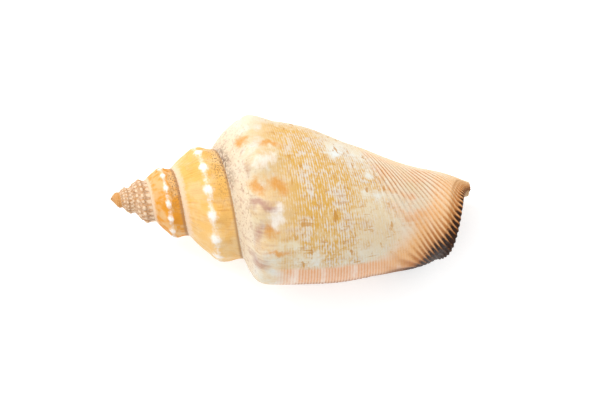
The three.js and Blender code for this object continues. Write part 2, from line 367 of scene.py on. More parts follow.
def line_mouth(sheet, settings, rows, old_wall, old_pillar):
    """Carries the wall round the lip and back inside; each ring has a wall and a pillar side."""
    seam_row, last = settings.spire_rows, len(rows) - 1
    old_depth = -EDGE_DEPTH
    for step in lining_steps(settings.lining_steps):
        depth = step[2]
        near, far = lining_span(depth)
        along = near + (far - near) * (rows[seam_row:] - SEAM_ALONG) / (1 - SEAM_ALONG)
        pillar = sheet.add(pillar_turn(along, depth), along, clear=0.0)
        wall = pillar[:1] + wall_side(sheet, rows[1:last], step) + pillar[-1:]
        old, new = lining_guides(rows, old_depth), lining_guides(rows, depth)
        for j in range(last):
            sheet.face([old_wall[j], wall[j], wall[j + 1], old_wall[j + 1]],
                       [old[j], new[j], new[j + 1], old[j + 1]])
        old = lining_guides(rows[seam_row:], old_depth, FULL_TURN)
        new = lining_guides(rows[seam_row:], depth, FULL_TURN)
        for j in range(last - seam_row):
            sheet.face([pillar[j], old_pillar[j], old_pillar[j + 1], pillar[j + 1]],
                       [new[j], old[j], old[j + 1], new[j + 1]])
        old_wall, old_pillar, old_depth = wall, pillar, depth
    close_across(sheet, old_wall, old_pillar)


def close_across(sheet, outer, pillar):
    """Closes the innermost ring, side to side."""
    i = j = 0
    dark = (LIP_TURN - MOUTH_DEPTH, 0.5, 1.0)
    while i < len(outer) - 1 or j < len(pillar) - 1:
        outer_next = (i + 1) / (len(outer) - 1)
        pillar_next = (j + 1) / (len(pillar) - 1)
        if j == len(pillar) - 1 or (i < len(outer) - 1 and outer_next <= pillar_next):
            sheet.face([outer[i], pillar[j], outer[i + 1]], [dark] * 3)
            i += 1
        else:
            sheet.face([outer[i], pillar[j], pillar[j + 1]], [dark] * 3)
            j += 1


def write_layer(mesh, name, domain, values):
    layer = mesh.attributes.new(name, "FLOAT", domain)
    layer.data.foreach_set("value", np.ascontiguousarray(values, dtype=np.float32))


def sheet_mesh(sheet):
    guides = np.concatenate(sheet.guides)
    mesh = bpy.data.meshes.new("unwound shell")
    mesh.from_pydata(np.concatenate(sheet.points).tolist(), [], sheet.faces)
    for k, name in enumerate(Sheet.GUIDES):
        write_layer(mesh, "guide_" + name, "POINT", guides[:, k])
    corners = np.array(sheet.corner_guides, dtype=np.float32)
    for k, name in enumerate(("turn", "along", "depth")):
        write_layer(mesh, name, "CORNER", corners[:, k])
    write_layer(mesh, "run", "CORNER", np.interp(corners[:, 1], CORD_ALONG, CORD_RUN))
    write_layer(mesh, "edge", "CORNER", LIP_TURN + margin_shift(corners[:, 1]) - corners[:, 0])
    mesh.polygons.foreach_set("use_smooth", np.ones(len(mesh.polygons), dtype=bool))
    mesh.update()
    return mesh


# ---- formulas written as node trees ----
class Wire:
    """A socket that can take part in a sum, so that a pattern reads as a formula."""

    def __init__(self, bench, socket):
        self.bench = bench
        self.socket = socket

    def math(self, operation, *others):
        return self.bench.add("ShaderNodeMath", {"operation": operation}, [self, *others])

    def turned(self, operation, other):
        return self.bench.add("ShaderNodeMath", {"operation": operation}, [other, self])

    def __add__(self, other):
        return self.math("ADD", other)

    __radd__ = __add__

    def __sub__(self, other):
        return self.math("SUBTRACT", other)

    def __rsub__(self, other):
        return self.turned("SUBTRACT", other)

    def __mul__(self, other):
        return self.math("MULTIPLY", other)

    __rmul__ = __mul__

    def __truediv__(self, other):
        return self.math("DIVIDE", other)

    def __pow__(self, other):
        return self.math("POWER", other)

    def __neg__(self):
        return self.math("MULTIPLY", -1.0)


class Bench:
    """Puts nodes into one tree, each with its settings first and then its sockets."""

    def __init__(self, tree):
        self.tree = tree

    def add(self, kind, settings=None, sockets=None, out=0):
        node = self.tree.nodes.new(kind)
        for name, value in (settings or {}).items():
            setattr(node, name, value)
        pairs = sockets.items() if isinstance(sockets, dict) else enumerate(sockets or [])
        for key, value in pairs:
            if isinstance(value, Wire):
                self.tree.links.new(value.socket, node.inputs[key])
            elif value is not None:
                node.inputs[key].default_value = value
        return Wire(self, node.outputs[out]) if out is not None else node

    def step(self, value, low, high, start=0.0, end=1.0):
        """A soft step of value between low and high."""
        settings = {"interpolation_type": "SMOOTHSTEP"}
        sockets = {0: value, 1: low, 2: high, 3: start, 4: end}
        return self.add("ShaderNodeMapRange", settings, sockets)

    def bell(self, distance, width):
        """1 at no distance, falling to 0 past about twice the width."""
        reach = distance / width
        return (-(reach * reach)).math("EXPONENT")

    def spread_bell(self, x, x_width, y, y_width):
        return self.bell(x, x_width) * self.bell(y, y_width)

    def joined(self, x, y, z):
        return self.add("ShaderNodeCombineXYZ", None, [x, y, z])

    def vector(self, operation, first, second):
        return self.add("ShaderNodeVectorMath", {"operation": operation}, [first, second])

    def scaled(self, vector, amount):
        return self.add("ShaderNodeVectorMath", {"operation": "SCALE"}, {0: vector, "Scale": amount})

    def mixed(self, share, first, second):
        """Goes from the first colour to the second as the share goes from 0 to 1."""
        settings = {"data_type": "RGBA", "blend_type": "MIX", "clamp_factor": True}
        first = first if isinstance(first, Wire) else (*first, 1.0)
        second = second if isinstance(second, Wire) else (*second, 1.0)
        return self.add("ShaderNodeMix", settings, {0: share, 6: first, 7: second}, 2)

    def noise(self, vector, scale, detail=3.0, rough=0.5):
        sockets = {"Vector": vector, "Scale": scale, "Detail": detail, "Roughness": rough}
        return self.add("ShaderNodeTexNoise", {"noise_dimensions": "3D"}, sockets)


# ---- patterns that the relief and the colours share ----
def ripple(value, spacing):
    """A wave between 0 and 1 that comes back at each spacing."""
    return (value / spacing * math.tau).math("COSINE") * 0.5 + 0.5


def nearest_knob(turn):
    """Turn of the nearest knob in the spire's ring."""
    return ((turn - KNOB_PHASE) / KNOB_STEP).math("ROUND") * KNOB_STEP + KNOB_PHASE


def cord_line(bench, run, turn):
    """Where a cord lies: across the front the cords slant toward the margin and sway a little."""
    sway = bench.noise(bench.joined(run * 0.16, turn * 0.008, 1.7), 1.0, 1.0, 0.55)
    return run - (turn - 60.0) * 0.062 * bench.step(run, 20.0, 30.0) + (sway - 0.5) * 1.8


def beads(along, turn):
    """1 on the beads of the oldest whorls and 0 between them."""
    return ripple(along, BEAD_ROW) * ripple(turn - KNOB_PHASE, BEAD_STEP)


# ---- the winding, as geometry nodes ----
TREE_INPUTS = (
    ("Flatten", FLATTEN, "height of a whorl against its width"),
    ("Canal start", CANAL_BEND[0], "where the canal begins to turn"),
    ("Canal sideways", CANAL_BEND[1], "how far the canal turns aside"),
    ("Canal up", CANAL_BEND[2], "how far the canal turns up"),
    ("Knob height", 1.0, "height of the shoulder knobs"),
    ("Lip band", LIP_BAND[0], "swelling behind the lip"),
    ("Cord height", 0.2, "height of the spiral cords near the canal"),
    ("Bead height", 0.55, "height of the beads on the oldest whorls"),
    ("Growth waves", 0.07, "height of the growth swellings"),
    ("Unevenness", 0.1, "slow natural unevenness"),
    ("Seed", 3.1, "picks the pattern of the growth swellings"),
    ("Roll", math.radians(REST[0]), "lean about the long axis"),
    ("Pitch", math.radians(REST[1]), "lean of the spire upward"),
    ("Yaw", math.radians(REST[2]), "turn on the table"),
    ("Belly level", BELLY_LEVEL, "below this the belly is worn"),
    ("Belly keep", BELLY_KEEP, "share that the wear leaves"),
)


def winding_tree():
    """Winds the unwound sheet round the axis, raises its relief and lays it on its mouth."""
    tree = bpy.data.node_groups.new("Wind the conch", "GeometryNodeTree")
    face = tree.interface
    face.new_socket("Geometry", in_out="INPUT", socket_type="NodeSocketGeometry")
    for name, default, words in TREE_INPUTS:
        socket = face.new_socket(name, in_out="INPUT", socket_type="NodeSocketFloat")
        socket.default_value = default
        socket.description = words
    for name in ("Place low", "Place high"):
        face.new_socket(name, in_out="INPUT", socket_type="NodeSocketVector")
    face.new_socket("Finish", in_out="INPUT", socket_type="NodeSocketMaterial")
    face.new_socket("Geometry", in_out="OUTPUT", socket_type="NodeSocketGeometry")
    bench = Bench(tree)
    entry = bench.add("NodeGroupInput", out=None)
    given = {s.name: Wire(bench, s) for s in entry.outputs if s.name}
    wound = wind_round_axis(bench, given)
    raised = raise_relief(bench, given, wound)
    laid = lay_on_mouth(bench, given, raised)
    plain = bench.add("GeometryNodeRealizeInstances", None, {"Geometry": laid})
    done = bench.add("GeometryNodeSetMaterial", None, {"Geometry": plain, "Material": given["Finish"]})
    bench.add("NodeGroupOutput", None, {"Geometry": done}, out=None)
    return tree


def guide_wire(bench, name):
    return bench.add("GeometryNodeInputNamedAttribute", {"data_type": "FLOAT"}, {"Name": "guide_" + name})


def unpack(bench, vector):
    node = bench.add("ShaderNodeSeparateXYZ", None, [vector], out=None)
    return [Wire(bench, node.outputs[k]) for k in range(3)]


def wind_round_axis(bench, given):
    reach, radius, angle = unpack(bench, bench.add("GeometryNodeInputPosition"))
    bend = bench.step(reach, given["Canal start"], given["Canal start"] + 10.0)
    y = radius * angle.math("COSINE") + given["Canal sideways"] * bend
    z = radius * angle.math("SINE") * given["Flatten"] + given["Canal up"] * bend
    place = bench.joined(reach, y, z)
    return bench.add("GeometryNodeSetPosition", None, {"Geometry": given["Geometry"], "Position": place})


def whorl_size(turn):
    """Size of a whorl against the last one; relief grows with it."""
    return (turn.math("MINIMUM", 0.0) / FULL_TURN * math.log(GROWTH)).math("EXPONENT")


def knob_relief(bench, given):
    """A ring of knobs along the shoulder, and the larger ones on the back of the last whorl."""
    turn, ahead = guide_wire(bench, "turn"), guide_wire(bench, "ahead")
    gain, reach_behind, reach_ahead = KNOB[0], KNOB[2], KNOB[3]
    nearest = nearest_knob(turn)
    belly = bench.bell(nearest - BELLY_KNOB[1], BELLY_KNOB[2]) * BELLY_KNOB[0] + 1.0
    young = bench.step(nearest, FIRST_TURN, FIRST_TURN + 300)
    spire = nearest.math("LESS_THAN", KNOB_PHASE + 1)
    height = belly * young * spire * whorl_size(turn) * gain * bench.bell(turn - nearest, KNOB[1])
    for where, tall in BACK_KNOBS:
        height = height + bench.bell(turn - float(where), BACK_KNOB_WIDTH) * tall
    in_front = ahead.math("GREATER_THAN", 0.0)
    reach = in_front * (reach_ahead - reach_behind) + reach_behind
    return height * bench.bell(ahead, reach) * given["Knob height"]


def cord_relief(bench, given):
    """Spiral cords: bold near the canal, fainter along the lip."""
    run, edge, turn = (guide_wire(bench, name) for name in ("cord_run", "edge", "turn"))
    cord = cord_line(bench, run, turn)
    bold = bench.step(cord, 21.0, 26.0) * bench.step(run, 22.0, 27.0) * bench.step(turn, -60.0, 10.0)
    near_lip = bench.step(edge, 100.0, 55.0) * bench.step(run, 20.0, 27.0)
    lip = bench.step(edge, 75.0, 60.0) * bench.step(run, 9.0, 14.0) * 0.25
    share = bold.math("MAXIMUM", near_lip).math("MAXIMUM", lip)
    return ripple(cord, CORD_SPACING) * share * given["Cord height"]


def bead_relief(bench, given):
    """Rows of beads on the oldest whorls."""
    turn, along = guide_wire(bench, "turn"), guide_wire(bench, "along")
    old = bench.step(turn, OLD_WHORLS + 25.0, OLD_WHORLS - 45.0)
    return beads(along, turn) * whorl_size(turn) * old * given["Bead height"]


def slow_relief(bench, given):
    """Growth swellings across the whorl and a slow unevenness of the whole wall."""
    turn, along = guide_wire(bench, "turn"), guide_wire(bench, "along")
    waves = bench.noise(bench.joined(turn * 0.09, along * 0.6, given["Seed"]), 1.0, 2.0)
    lumps = bench.noise(bench.add("GeometryNodeInputPosition"), 0.22, 2.0)
    uneven = (waves - 0.5) * given["Growth waves"] + (lumps - 0.5) * given["Unevenness"]
    return uneven * whorl_size(turn)


def raise_relief(bench, given, wound):
    clear, edge, along = (guide_wire(bench, name) for name in ("clear", "edge", "along"))
    band = bench.bell(edge - LIP_BAND[1], LIP_BAND[2]) * given["Lip band"]
    band = band * bench.step(along, 0.05, 0.3) * bench.step(along, 1.0, 0.9)
    shown = bench.step(edge, -30.0, -10.0)
    relief = knob_relief(bench, given) + band + cord_relief(bench, given)
    relief = relief + bead_relief(bench, given) + slow_relief(bench, given)
    lift = bench.scaled(bench.add("GeometryNodeInputNormal"), relief * clear * shown)
    return bench.add("GeometryNodeSetPosition", None, {"Geometry": wound, "Offset": lift})


def lay_on_mouth(bench, given, raised):
    """Leans the shell over, wears its belly flat and sets it on the table."""
    lean = bench.joined(given["Roll"], given["Pitch"], given["Yaw"])
    turned = bench.add("ShaderNodeVectorRotate", {"rotation_type": "EULER_XYZ"},
                       {"Vector": bench.add("GeometryNodeInputPosition"), "Rotation": lean})
    x, y, z = unpack(bench, turned)
    below = (given["Belly level"] - z).math("MAXIMUM", 0.0)
    worn = z + (1.0 - given["Belly keep"]) * below * below / (below + 0.4)
    metres = bench.scaled(bench.joined(x, y, worn), MM)
    leaned = bench.add("GeometryNodeSetPosition", None, {"Geometry": raised, "Position": metres})
    box = bench.add("GeometryNodeBoundBox", None, {"Geometry": leaned}, out=None)
    low, high = Wire(bench, box.outputs["Min"]), Wire(bench, box.outputs["Max"])
    goal = bench.vector("ADD", given["Place low"], given["Place high"])
    middle = bench.vector("ADD", low, high)
    half = bench.scaled(bench.vector("SUBTRACT", goal, middle), 0.5)
    aside, ahead, _ = unpack(bench, half)
    drop = unpack(bench, given["Place low"])[2] - unpack(bench, low)[2]
    where = bench.joined(aside, ahead, drop)
    return bench.add("GeometryNodeSetPosition", None, {"Geometry": leaned, "Offset": where})


def wound_object(settings, finish):
    """Runs the tree on the unwound sheet and keeps the result as a plain mesh."""
    flat = bpy.data.objects.new("unwound shell", sheet_mesh(unwound_shell(settings)))
    bpy.context.scene.collection.objects.link(flat)
    tree = winding_tree()
    modifier = flat.modifiers.new("Wind the conch", "NODES")
    modifier.node_group = tree
    keys = {item.name: item.identifier for item in tree.interface.items_tree if item.in_out == "INPUT"}
    modifier[keys["Knob height"]] = settings.knob_height
    modifier[keys["Cord height"]] = settings.cord_height
    modifier[keys["Place low"]] = SHELL_BOX[0]
    modifier[keys["Place high"]] = SHELL_BOX[1]
    modifier[keys["Finish"]] = finish
    flat.data.materials.append(finish)
    bpy.context.view_layer.update()
    graph = bpy.context.evaluated_depsgraph_get()
    mesh = bpy.data.meshes.new_from_object(
        flat.evaluated_get(graph), preserve_all_data_layers=True, depsgraph=graph)
    flat.modifiers.clear()
    bpy.data.meshes.remove(flat.data)
    mesh.name = "Conch"
    for name in [a.name for a in mesh.attributes if a.name.startswith("guide_")]:
        mesh.attributes.remove(mesh.attributes[name])
    shell = bpy.data.objects.new("Conch", mesh)
    bpy.context.scene.collection.objects.link(shell)
    return shell


# ---- the finish of the shell ----
def attribute(bench, name):
    return bench.add("ShaderNodeAttribute", {"attribute_name": name}, out=2)


# Marks beside the knobs of the back: turn, millimetres from the seam, their half widths, strength.
ORANGE_HOLLOWS = (
    (42.0, 4.2, 6.0, 1.0, 1.0), (50.0, 8.0, 4.0, 2.4, 1.0), (82.0, 5.2, 7.0, 1.2, 1.0),
    (84.0, 8.6, 5.5, 1.6, 1.0), (112.0, 6.8, 6.0, 1.0, 1.0), (127.0, 7.6, 3.0, 2.0, 1.0),
)
WORN_KNOBS = (
    (22.0, 5.2, 9.0, 2.2, 0.5), (66.0, 6.6, 7.0, 2.2, 0.8), (97.0, 7.6, 4.0, 1.6, 1.0),
    (106.0, 7.5, 5.0, 1.8, 1.0),
)
MAUVE_SHADOWS = (
    (95.0, 5.8, 5.0, 2.2, 1.0), (116.0, 4.8, 9.0, 1.8, 0.8), (140.0, 4.6, 10.0, 1.8, 0.8),
    (68.0, 4.2, 7.0, 1.0, 0.6),
)


class Finish:
    """The colours of the shell, each zone laid over the one before."""

    def __init__(self, bench, settings):
        self.bench = bench
        self.tint = settings
        self.turn, self.along = attribute(bench, "turn"), attribute(bench, "along")
        self.depth, self.edge = attribute(bench, "depth"), attribute(bench, "edge")
        self.run = attribute(bench, "run")
        self.cord = cord_line(bench, self.run, self.turn)
        place = bench.add("ShaderNodeTexCoord", out=None)
        self.where = bench.scaled(Wire(bench, place.outputs["Object"]), 1.0 / MM)
        # slow patches, blotches, streaks along the growth lines, dashes along the spiral
        self.patches = self.cloth(0.022, 0.16, 0.0)
        self.blotches = self.cloth(0.085, 0.42, 3.7)
        self.streaks = self.cloth(0.55, 0.26, 5.0)
        self.dashes = self.cloth(0.3, 2.6, 9.0)
        self.threads = ripple(self.run, THREAD_SPACING)
        self.grit = bench.noise(self.where, 2.6, 4.0, 0.65)
        self.loose_turn = self.turn + (self.cloth(0.06, 0.45, 61.0) - 0.5) * 20.0
        self.loose_run = self.run + (self.cloth(0.07, 0.4, 67.0) - 0.5) * 4.0

    def cloth(self, per_degree, per_mm, shift):
        """Noise stretched along the surface: so many features a degree and a millimetre."""
        vector = self.bench.joined(self.turn * per_degree, self.run * per_mm, shift)
        return self.bench.noise(vector, 1.0, 3.0, 0.55)

    def spot(self, turn, run, turn_width, run_width):
        bench = self.bench
        return (bench.bell(self.loose_turn - turn, turn_width)
                * bench.bell(self.loose_run - run, run_width))

    def spots(self, places):
        marks = [self.spot(*place[:4]) * place[4] for place in places]
        return sum(marks[1:], marks[0])

    def last_whorl(self):
        """Cream ground and golden patches under the broken threads."""
        bench, tint = self.bench, self.tint
        ground = bench.mixed(bench.step(self.patches, 0.38, 0.62), tint.cream, tint.blue_white)
        gold = bench.mixed(bench.step(self.streaks + (self.blotches - 0.5), 0.45, 0.85),
                           tint.ochre, tint.dark_ochre)
        zone = bench.bell(self.run - 14.0, 12.5) * bench.bell(self.turn - 84.0, 68.0)
        zone = zone + bench.spread_bell(self.run - 10.0, 6.0, self.turn - 36.0, 14.0) * 0.45
        zone = zone - bench.spread_bell(self.run - 19.5, 4.0, self.turn - 52.0, 26.0) * 0.4
        zone = zone - bench.spread_bell(self.run - 4.5, 4.0, self.turn - 20.0, 14.0) * 0.8
        zone = zone + (self.patches - 0.5) * 1.4 + (self.blotches - 0.5) * 1.7
        golden = bench.step(zone + (self.streaks - 0.5) * 0.3, 0.16, 0.7)
        golden = golden * bench.step(self.loose_run + (self.blotches - 0.5) * 6.0, 3.5, 11.0, 0.35, 1.0)
        return self.broken_threads(bench.mixed(golden * 0.95, ground, gold))

    def broken_threads(self, colour):
        """Pale threads and dark ticks along the spiral, a warmer painted shade toward the upper side and a
        tan painted shade on the lower back.
        """
        bench, tint = self.bench, self.tint
        thread = self.dashes + (self.threads - 0.5) * 0.22 + (self.blotches - 0.5) * 0.9
        thread = bench.step(thread, 0.36, 0.74)
        where = bench.step(self.loose_run, 5.0, 13.0) * bench.step(self.run, 34.0, 24.0)
        colour = bench.mixed(thread * where * 0.7, colour, tint.blue_white)
        # painted shade: the upper side, where the wall turns away, is darkened toward ochre
        far = bench.step(self.turn + (self.patches - 0.5) * 30.0, 62.0, 18.0)
        colour = bench.mixed(far * bench.step(self.run, 4.0, 9.0) * 0.3, colour, tint.ochre)
        # painted shade: a tan patch on the lower back
        shade = bench.spread_bell(self.run - 23.5, 4.5, self.turn - 118.0, 22.0)
        colour = bench.mixed(shade * 0.45, colour, tint.tan)
        ticks = bench.step(self.cloth(0.42, 0.3, 14.0) + (self.blotches - 0.5) * 0.3, 0.6, 0.7)
        ticks = ticks * bench.step(self.run, 8.0, 12.0) * bench.step(self.turn, 60.0, 115.0)
        ticks = ticks * bench.step(self.run, 30.0, 22.0) * bench.step(self.dashes, 0.25, 0.5)
        colour = bench.mixed(ticks * 0.75, colour, tint.dark_ochre)
        runs = bench.step(self.cloth(0.09, 1.0, 21.0), 0.61, 0.68) * where
        return bench.mixed(runs * 0.75, colour, tint.dark_ochre)

    def shoulder(self, colour):
        """Pinkish ramp with specks, white worn knobs, orange hollows and mauve shadows."""
        bench, tint = self.bench, self.tint
        warm = bench.bell(self.run - 6.0, 4.5) * bench.step(self.blotches + self.patches, 0.8, 1.15)
        colour = bench.mixed(warm * 0.5, colour, tint.ramp)
        ramp = bench.step(self.run + (self.blotches - 0.5) * 3.0, 4.4, 2.6)
        colour = bench.mixed(ramp * 0.8, colour, bench.mixed(self.grit, tint.ramp_pink, tint.cream))
        mottle = bench.step(self.cloth(0.22, 1.3, 37.0), 0.5, 0.68) * bench.step(self.run, 5.5, 3.0)
        colour = bench.mixed(mottle * 0.45, colour, tint.mauve)
        speck = bench.step(self.cloth(0.5, 2.6, 31.0), 0.57, 0.66) * bench.step(self.run, 6.5, 3.5)
        colour = bench.mixed(speck * 0.5, colour, tint.speck)
        orange = bench.step(self.spots(ORANGE_HOLLOWS) + (self.grit - 0.5) * 0.9, 0.1, 1.15)
        colour = bench.mixed(orange * 0.9, colour, tint.orange)
        uneven = (self.dashes - 0.5) * 0.6 + (self.grit - 0.5) * 0.4
        white = bench.step(self.spots(WORN_KNOBS) + uneven, 0.15, 1.0)
        colour = bench.mixed(white * 0.8, colour, tint.knob_white)
        mauve = bench.step(self.spots(MAUVE_SHADOWS) + (self.streaks - 0.5) * 0.9, 0.1, 1.15)
        return bench.mixed(mauve * 0.95, colour, tint.mauve)

    def spire(self, colour):
        """Amber whorls, and the beaded grey-brown oldest ones, up to the orange tip."""
        bench, tint = self.bench, self.tint
        colour = bench.mixed(bench.step(self.turn, -100.0, -146.0), colour, self.amber_whorls())
        old = bench.step(self.turn, OLD_WHORLS, OLD_WHORLS - 25.0)
        colour = bench.mixed(old, colour, self.oldest_whorls())
        return bench.mixed(bench.step(self.turn, -1540.0, -1660.0) * 0.7, colour, tint.orange)

    def amber_whorls(self):
        """Streaked amber with a pale knobbed band, a painted shadow line at the seam, and patches of
        painted shade and grime beside it.
        """
        bench, tint = self.bench, self.tint
        amber = bench.mixed(bench.step(self.turn, -480.0, -520.0), tint.amber_late, tint.amber)
        deep = bench.step(self.streaks + (self.blotches - 0.5) * 0.8, 0.42, 0.75)
        amber = bench.mixed(deep * 0.7, amber, tint.dark_amber)
        pale = bench.step(self.blotches + (self.patches - 0.5), 0.4, 0.68)
        low = bench.step(self.turn, -285.0, -200.0)
        amber = bench.mixed(pale * 0.5 + low * 0.3, amber, tint.ramp)
        seam = bench.step(self.along + (self.grit - 0.5) * 0.05, 0.05, 0.015)
        amber = bench.mixed(seam * 0.8, amber, tint.ramp_pink)
        # painted shadow: a dark line where the next whorl is laid on
        amber = bench.mixed(bench.bell(self.along - 0.296, 0.006) * 0.75, amber, tint.speck)
        band = bench.bell(self.along - 0.185, 0.032)
        rib = bench.bell(self.turn - nearest_knob(self.turn), 4.5) * bench.bell(self.along - 0.19, 0.055)
        uneven = (self.grit - 0.5) * 0.7 + (self.cloth(0.16, 1.4, 71.0) - 0.5) * 1.1
        white = bench.step(band * 0.7 + rib * 0.5 + uneven, 0.38, 1.15)
        amber = bench.mixed(white, amber, tint.knob_white)
        # painted shade and grime: dark patches next to the seam on the upper side
        held = bench.step(self.along, 0.19, 0.285) * bench.bell(self.turn + 315.0, 38.0)
        held = held + bench.step(self.along, 0.17, 0.28) * bench.bell(self.turn + 660.0, 40.0)
        speck = bench.step(self.cloth(0.4, 3.0, 41.0), 0.52, 0.66)
        return bench.mixed(held * bench.step(speck + self.grit, 0.45, 1.1) * 0.85, amber, tint.dirt_and_shade)

    def oldest_whorls(self):
        """Pale beads on grey-brown."""
        bench, tint = self.bench, self.tint
        mud = bench.mixed(bench.step(self.streaks, 0.4, 0.65), tint.grey_brown, tint.dark_amber)
        mud = bench.mixed(bench.step(self.grit, 0.3, 0.75) * 0.7, mud, tint.ramp_pink)
        uneven = (self.grit - 0.5) * 0.5 + (self.blotches - 0.5) * 0.8
        worn = bench.step(beads(self.along, self.turn) + uneven, 0.22, 0.7)
        return bench.mixed(worn * 0.9, mud, tint.pale_bead)

    def front(self, colour):
        """Tan front with cream cords that run out over the margin."""
        bench, tint = self.bench, self.tint
        zone = bench.step(self.cord + (self.streaks - 0.5) * 2.0 + (self.patches - 0.5) * 3.0, 22.5, 27.5)
        zone = zone * bench.step(self.run, 23.0, 27.0)
        calm = bench.spread_bell(self.run - 29.0, 5.0, self.turn - 108.0, 24.0)
        near_tip = bench.spread_bell(self.run - 36.5, 3.5, self.turn - 76.0, 14.0)
        broken = bench.step(self.patches + self.streaks * 0.5, 0.5, 0.85, 0.5, 1.0)
        self.cord_show = zone * (1.0 - calm * 0.65 - near_tip * 0.4) * broken
        tan = bench.mixed(bench.step(self.blotches, 0.4, 0.65), tint.tan, tint.peach)
        colour = bench.mixed(zone * 0.5, colour, tan)
        return colour, zone, ripple(self.cord, CORD_SPACING)

    def lip(self, colour, zone, crest):
        """Peach band with fine cross lines, the cords over it, and the dark front margin."""
        bench, tint = self.bench, self.tint
        lines = (self.run / LINE_SPACING * math.tau).math("COSINE") + (self.dashes - 0.5) * 2.0
        fine = bench.step(lines, -0.9, 0.9)
        colour = self.peach_band(colour, fine)
        colour = bench.mixed(self.cord_show * crest * 0.8, colour, tint.cord_cream)
        rim = bench.step(self.edge + (self.grit - 0.5) * 6.0, 52.0, 42.0) * bench.step(self.run, 7.0, 12.0)
        rim = rim * bench.step(fine + self.streaks, 1.6, 0.5, 0.3, 0.8)
        colour = bench.mixed(rim, colour, tint.rim_brown)
        return self.dark_margin(self.grooves(colour, crest), zone, crest)

    def peach_band(self, colour, fine):
        bench, tint = self.bench, self.tint
        reach = bench.step(self.run, 22.0, 33.0, 71.0, 98.0)
        soft = bench.step(self.run, 20.0, 28.0, 1.0, 6.0)
        band = bench.step((self.edge + (self.streaks - 0.5) * 7.0 - reach) / soft, 2.5, -2.5)
        band = band * bench.step(self.run, 6.5, 10.0)
        peach = bench.mixed(fine, tint.peach, tint.pale_peach)
        peach = bench.mixed(bench.step(self.run, 19.0, 27.0) * 0.6, peach, tint.front_orange)
        pale = bench.step(self.cloth(0.02, 0.45, 51.0), 0.52, 0.7)
        peach = bench.mixed(pale * 0.6, peach, tint.knob_white)
        return bench.mixed(band * bench.step(self.run, 40.0, 30.0, 0.5, 0.92), colour, peach)

    def grooves(self, colour, crest):
        """Tan lines between the cords, stronger toward the far side."""
        bench = self.bench
        far = bench.step(self.turn, 105.0, 70.0)
        groove = self.cord_show * bench.step(crest, 0.45, 0.1)
        groove = groove * bench.step(self.streaks + far * 0.4, 0.35, 0.8)
        return bench.mixed(groove * (far * 0.25 + 0.55), colour, self.tint.tan_line)

    def dark_margin(self, colour, zone, crest):
        """Orange, then scorched brown, then nearly black; each reaches further between the cords."""
        bench, tint = self.bench, self.tint
        width = bench.bell(self.run - 31.0, 2.2) * 16.0 + 47.0 - bench.step(self.run, 31.5, 38.0) * 37.0
        width = width + (0.5 - crest ** 2.5) * 15.0 * zone + (self.streaks - 0.5) * 12.0
        depth = width - self.edge
        ragged = self.run + (self.blotches - 0.5) * 7.0 + (self.dashes - 0.5) * 3.0
        burnt = bench.step(depth, -7.0, 6.0) * bench.step(ragged, 20.0, 28.0)
        glow = bench.step(depth, -60.0, -18.0) * bench.step(self.run, 23.0, 29.0)
        colour = bench.mixed(glow * 0.55, colour, tint.front_orange)
        scorch = bench.step(depth + (0.5 - crest) * 10.0, -26.0, -2.0) * bench.step(self.run, 22.0, 28.0)
        colour = bench.mixed(scorch * 0.9, colour, tint.scorch)
        black = burnt * bench.step(self.run, 42.0, 38.0, 0.6, 0.97)
        colour = bench.mixed(black, colour, tint.mouth_dark)
        ridge = burnt * crest ** 3.0 * bench.step(self.streaks + self.patches, 0.85, 1.25)
        return bench.mixed(ridge * bench.step(depth, 22.0, 6.0, 0.1, 0.6), colour, tint.scorch)

    def mouth(self, colour):
        """Brown lining, redder near the canal."""
        bench, tint = self.bench, self.tint
        inner = bench.mixed(bench.step(self.depth, 0.02, 0.4), tint.mouth_pale, tint.mouth_brown)
        brown = bench.step(self.run, 20.0, 32.0)
        inner = bench.mixed(brown * 0.8, inner, tint.mouth_red)
        return bench.mixed(bench.step(self.depth, 0.0, 0.03), colour, inner)

    def worn(self, colour):
        """Painted shade and grime in the seams, and fine specks everywhere."""
        bench, tint = self.bench, self.tint
        # painted shadow and grime: a dark line along the seam of the last whorl
        seam = bench.bell(self.along, 0.006) * bench.step(self.turn, 205.0, 190.0)
        seam = seam * bench.step(self.grit, 0.35, 0.65)
        # painted shade and grime: a dark patch at the seam on the upper side
        held = self.spot(48.0, 0.0, 34.0, 1.2) * bench.step(self.grit, 0.3, 0.62)
        colour = bench.mixed((seam * 0.45).math("MAXIMUM", held * 0.85), colour, tint.dirt_and_shade)
        specks = bench.step(bench.noise(self.where, 4.4, 3.0, 0.7), 0.6, 0.68)
        return bench.mixed(specks * 0.3, colour, tint.speck)


def shell_finish(settings):
    """Cream and ochre wall with amber whorls, a peach lip and a dark front margin."""
    material = bpy.data.materials.new("conch shell wall")
    material.use_nodes = True
    tree = material.node_tree
    tree.nodes.clear()
    bench = Bench(tree)
    finish = Finish(bench, settings)
    colour = finish.spire(finish.shoulder(finish.last_whorl()))
    colour, zone, crest = finish.front(colour)
    colour = finish.mouth(finish.worn(finish.lip(colour, zone, crest)))
    # relief too fine for the mesh
    lines = finish.cloth(1.4, 0.1, 2.0)
    height = finish.threads * 0.4 + lines * 0.7 + finish.grit * 0.5
    bump = bench.add("ShaderNodeBump", None, {"Strength": 0.4, "Distance": 0.00008, "Height": height})
    shader = bench.add("ShaderNodeBsdfPrincipled", None, {
        "Base Color": colour, "Roughness": bench.step(finish.grit, 0.3, 0.7, 0.38, 0.56),
        "IOR": 1.5, "Specular IOR Level": 0.12, "Normal": bump,
    })
    bench.add("ShaderNodeOutputMaterial", None, {"Surface": shader}, out=None)
    return material


def colour_choice(name, words, default):
    return bpy.props.FloatVectorProperty(
        name=name, description=words, default=default, subtype="COLOR", size=3, min=0.0, max=1.0)


def count_choice(name, words, default, low, high):
    return bpy.props.IntProperty(name=name, description=words, default=default, min=low, max=high)


def height_choice(name, words, default, high):
    return bpy.props.FloatProperty(name=name, description=words, default=default, min=0.0, max=high)


